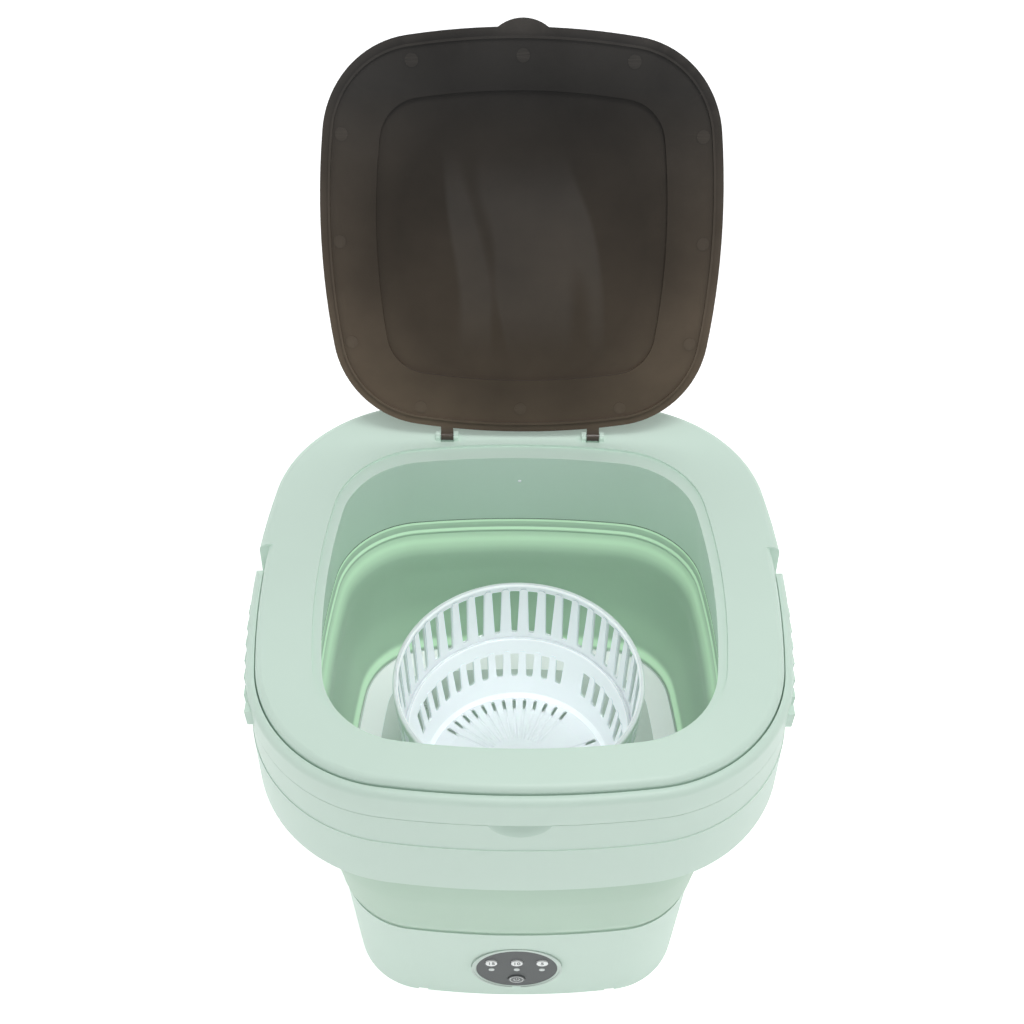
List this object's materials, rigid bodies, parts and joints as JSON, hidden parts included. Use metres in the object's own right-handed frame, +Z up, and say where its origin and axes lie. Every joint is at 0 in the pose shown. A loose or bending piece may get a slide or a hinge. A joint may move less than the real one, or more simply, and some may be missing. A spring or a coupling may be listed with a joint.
{
  "type": "folding portable washing machine",
  "caption": "Portable washing tub with a folding bellows body, smoked lid, swinging carry handle, telescoping spin basket and a round front panel.",
  "frame": {"origin": "centre of the underside of the feet, on the drive axis; Z = 0 is the floor", "axes": "+Z up along the drive axis, -Y the front with the control panel, +X the right-hand side seen from the front"},
  "size_m": [0.3876, 0.4509, 0.6411],
  "materials": {
    "mint_shell": "fine matt moulded",
    "mint_elastomer": "soft satin",
    "smoked_lid": "polished, translucent smoke brown",
    "basket_white": "smooth",
    "tray_grey": "smooth",
    "panel_dark": "gloss",
    "bezel_silver": "satin silver-green",
    "button_white": "satin",
    "power_grey": "satin",
    "lamp_clear": "diffuse window",
    "inner_plastic": "as moulded",
    "gear_nylon": "as moulded",
    "steel": "machined",
    "screw_steel": "zinc plated",
    "bracket_steel": "zinc plated sheet",
    "motor_steel": "satin",
    "board_green": "solder mask",
    "wire_black": "matt",
    "seal_black": "matt",
    "pipe_grey": "as moulded",
    "socket_black": "satin"
  },
  "bodies": {
    "base": {"base_housing": "mint_shell", "tub_floor": "tray_grey", "bottom_cover": "inner_plastic", "cover_screws": "screw_steel", "feet": "seal_black", "panel_bezel": "bezel_silver", "panel_overlay": "panel_dark", "lamp_windows": "lamp_clear", "control_board": "board_green", "board_screws": "screw_steel", "wiring": "wire_black", "dc_socket": "socket_black", "drain_strainer": "tray_grey", "drain_pipe": "pipe_grey", "upper_bearing": "steel", "shaft_seal": "seal_black", "lower_bearing": "steel", "drive_bracket": "bracket_steel", "bracket_screws": "screw_steel", "motor_can": "motor_steel", "motor_end_cap": "inner_plastic", "motor_screws": "screw_steel"},
    "upper": {"top_frame": "mint_shell", "skirt_ring": "mint_shell", "frame_screws": "screw_steel", "bellows": "mint_elastomer", "bellows_clamp_ring": "inner_plastic"},
    "lid_body": {"lid": "smoked_lid"},
    "handle_body": {"handle": "mint_shell", "handle_retainers": "inner_plastic"},
    "spinner": {"pulsator": "inner_plastic", "pulsator_screw": "screw_steel", "drive_shaft": "steel", "driven_gear": "gear_nylon", "basket_bowl": "basket_white"},
    "basket_upper": {"basket_ring": "basket_white"},
    "motor_rotor": {"motor_shaft": "steel", "pinion": "gear_nylon"},
    "time_key_15": {"time_button_15": "button_white"},
    "time_key_10": {"time_button_10": "button_white"},
    "time_key_5": {"time_button_5": "button_white"},
    "power_key": {"power_button": "power_grey"},
    "drain_plug": {"drain_cap": "seal_black"}
  },
  "joints": [
    {"name": "tub_fold", "type": "slide", "parent": "base", "child": "upper", "axis": [0, 0, 1], "range_m": [-0.155, 0], "deforming": ["bellows"]},
    {"name": "lid_hinge", "type": "hinge", "parent": "upper", "child": "lid_body", "pos_m": [0, 0.1535, 0.37], "axis": [1, 0, 0], "range_deg": [0, 114]},
    {"name": "handle_hinge", "type": "hinge", "parent": "upper", "child": "handle_body", "pos_m": [0, 0.0134, 0.3504], "axis": [-1, 0, 0], "range_deg": [0, 90]},
    {"name": "pulsator_spin", "type": "hinge", "parent": "base", "child": "spinner", "pos_m": [0, 0, 0.1], "axis": [0, 0, 1], "continuous": true},
    {"name": "basket_slide", "type": "slide", "parent": "spinner", "child": "basket_upper", "axis": [0, 0, 1], "range_m": [-0.064, 0]},
    {"name": "motor_spin", "type": "hinge", "parent": "base", "child": "motor_rotor", "pos_m": [0.045, 0, 0.05], "axis": [0, 0, 1], "continuous": true},
    {"name": "time_press_15", "type": "slide", "parent": "base", "child": "time_key_15", "axis": [0, 1, 0], "range_m": [0, 0.0008], "stiffness_N_per_m": 800},
    {"name": "time_press_10", "type": "slide", "parent": "base", "child": "time_key_10", "axis": [0, 1, 0], "range_m": [0, 0.0008], "stiffness_N_per_m": 800},
    {"name": "time_press_5", "type": "slide", "parent": "base", "child": "time_key_5", "axis": [0, 1, 0], "range_m": [0, 0.0008], "stiffness_N_per_m": 800},
    {"name": "power_press", "type": "slide", "parent": "base", "child": "power_key", "axis": [0, 1, 0], "range_m": [0, 0.0008], "stiffness_N_per_m": 800},
    {"name": "drain_cap_pull", "type": "slide", "parent": "base", "child": "drain_plug", "axis": [0, 1, 0], "range_m": [0, 0.03]}
  ],
  "couplings": [
    {"joint": "basket_slide", "follows": "tub_fold", "ratio": 0.4125},
    {"joint": "motor_spin", "follows": "pulsator_spin", "ratio": -5}
  ]
}
